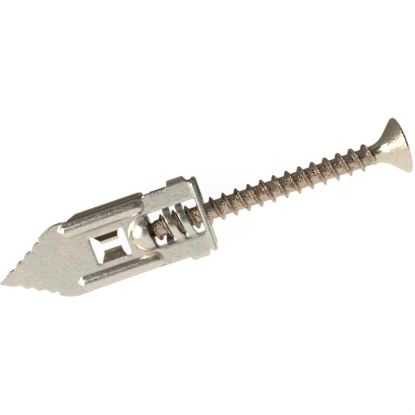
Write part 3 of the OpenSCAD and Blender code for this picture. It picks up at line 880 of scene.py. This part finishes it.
def screw_zinc():
    """The screw: darker and rougher along its rolled thread than on the smooth head."""
    n = Material("zinc_screw")
    neck = SCREW_BOX[1].x - PLAIN_LEN * MM
    thread = n.add("MapRange", interpolation_type="SMOOTHSTEP", Value=n.position()[0], To_Min=1.0, To_Max=0.0,
                   From_Min=neck - 0.5 * MM, From_Max=neck + 0.5 * MM).outputs["Result"]
    rolled = n.calc("ADD", n.calc("MULTIPLY", thread, 0.70), 0.30)
    color = zinc(n, SCREW_TINTS, (0.10, 0.17), rolled, (0.22, 0.17, 0.12))
    n.bump(n.calc("MULTIPLY", n.noise(3000.0, 3.0, 0.6), rolled), 0.17 * MM)
    n.bump(n.noise(420.0, 2.0), 0.2 * MM, 0.05)
    tone = n.mix(thread, WHITE, (0.79, 0.74, 0.68))
    n.give("Base Color", n.mix(1.0, color, tone, "MULTIPLY"))
    return n.mat


# ---------------------------------------------------------------- camera and light

def camera():
    """The photograph's view: head end a little nearer, axis rising to the right."""
    focal_px, image_px, sensor = 690.0, 415.0, 36.0
    lean, rise, roll = math.radians(3.6), math.radians(10.0), math.radians(19.0)
    dist, along, above = 104.0, 33.81, 0.60
    back = Vector((math.sin(lean), math.sin(rise) * math.cos(lean), math.cos(rise) * math.cos(lean)))
    back.normalize()
    level = Vector((1, 0, 0)) - back.x * back
    level.normalize()
    steep = back.cross(level)
    right = level * math.cos(roll) - steep * math.sin(roll)
    up = level * math.sin(roll) + steep * math.cos(roll)
    cam = bpy.data.cameras.new("camera")
    cam.sensor_width = sensor
    cam.lens = focal_px / image_px * sensor
    cam.clip_start, cam.clip_end = 0.001, 10
    obj = bpy.data.objects.new("camera", cam)
    bpy.context.scene.collection.objects.link(obj)
    view = Matrix((right, up, back)).transposed().to_4x4()
    view.translation = Vector((TIP_X + along * MM, 0, AXIS_Z)) + steep * above * MM + back * dist * MM
    obj.matrix_world = view
    bpy.context.scene.camera = obj


# Each lamp's place and size in millimetres, and its power in watts. All of them aim at AIM
AIM = (0, 0, 4)
LAMPS = [("key", (-265, 147, 220), (290, 175), 0.52),
         ("low", (-275, 215, 138), (190, 150), 0.27),
         ("edge", (-363, 75, 62), (130, 110), 0.06)]


def softbox(name, pos, size, power):
    light = bpy.data.lights.new(name, "AREA")
    light.shape, light.size, light.size_y = "RECTANGLE", size[0] * MM, size[1] * MM
    light.energy = power
    obj = bpy.data.objects.new(name, light)
    obj.location = Vector(pos) * MM
    obj.rotation_euler = (Vector(AIM) * MM - obj.location).to_track_quat("-Z", "Y").to_euler()
    bpy.context.scene.collection.objects.link(obj)


def world():
    """A pale room whose far side is dark and patchy, as behind a studio's black flag."""
    room = bpy.data.worlds.new("room")
    bpy.context.scene.world = room
    room.use_nodes = True
    n = Nodes(room.node_tree)
    away = n.add("VectorMath", operation="DOT_PRODUCT")
    n.put(away.inputs[0], n.add("TexCoord").outputs["Generated"])
    n.put(away.inputs[1], (0.25, 0.9, 0))
    shift = n.calc("ADD", away.outputs["Value"], 0.5)
    far = n.ramp(shift, [(0.35, (0, 0, 0)), (0.42, (0.30, 0.30, 0.30)), (0.50, WHITE)])
    patches = n.ramp(n.noise(7.0, 1.0, space="Generated"), [(0.50, (0.08, 0.076, 0.067)),
                                                             (0.62, (0.24, 0.23, 0.21))])
    n.put(n.tree.nodes["Background"].inputs["Color"], n.mix(far, (0.89, 0.88, 0.86), patches))


def card(name, corners, material):
    """A flat stage card."""
    me = bpy.data.meshes.new(name)
    me.from_pydata(corners, [], [(0, 1, 2, 3)])
    me.materials.append(material)
    obj = bpy.data.objects.new(name, me)
    bpy.context.scene.collection.objects.link(obj)
    return obj


def flag():
    """A dark card on the floor behind the object, which only shiny surfaces show."""
    n = Material("flag_card")
    n.give("Base Color", (0.32, 0.30, 0.26))
    n.give("Roughness", 0.9)
    x, y0, y1, z = 110 * MM, 0.8 * MM, 160 * MM, 0.05 * MM
    obj = card("flag", [(-x, y0, z), (x, y0, z), (x, y1, z), (-x, y1, z)], n.mat)
    obj.visible_camera = obj.visible_diffuse = obj.visible_shadow = obj.visible_transmission = False


def floor():
    """A plain white floor that keeps the object's shadow. It shows white to the camera and, dimmer,
    to metal."""
    n = Material("floor_white")
    n.give("Base Color", (0.9, 0.9, 0.9))
    n.give("Roughness", 0.9)
    path = n.add("LightPath").outputs
    shiny = n.calc("MAXIMUM", path["Is Glossy Ray"], path["Is Transmission Ray"])
    seen = n.calc("MAXIMUM", path["Is Camera Ray"], n.calc("MULTIPLY", shiny, 0.75))
    glow = n.add("Emission", Color=WHITE, Strength=1.07)
    mix = n.add("MixShader")
    n.put(mix.inputs[0], n.calc("MULTIPLY", seen, 0.88))
    n.put(mix.inputs[1], n.shader.outputs[0])
    n.put(mix.inputs[2], glow.outputs[0])
    n.put(n.tree.nodes["Material Output"].inputs["Surface"], mix.outputs[0])
    s = 1.2
    card("floor", [(-s, -s, 0), (s, -s, 0), (s, s, 0), (-s, s, 0)], n.mat)


def build():
    """The two legs, their four half hoops and the screw."""
    sheet_mat, screw_mat = sheet_zinc(), screw_zinc()
    for name, front in (("front_leg", True), ("back_leg", False)):
        to_object(name, *Leg(front).mesh(), sheet_mat)
    for k in (0, 1):
        hoop(f"front_hoop_{k + 1}", HOOP_X + k * PITCH, 1, sheet_mat)
        hoop(f"back_hoop_{k + 1}", HOOP_X + (k - 0.5) * PITCH, -1, sheet_mat)
    screw_mesh(screw_mat)


camera()
world()
floor()
flag()
for lamp in LAMPS:
    softbox(*lamp)
build()
bpy.context.scene.view_settings.view_transform = "Standard"
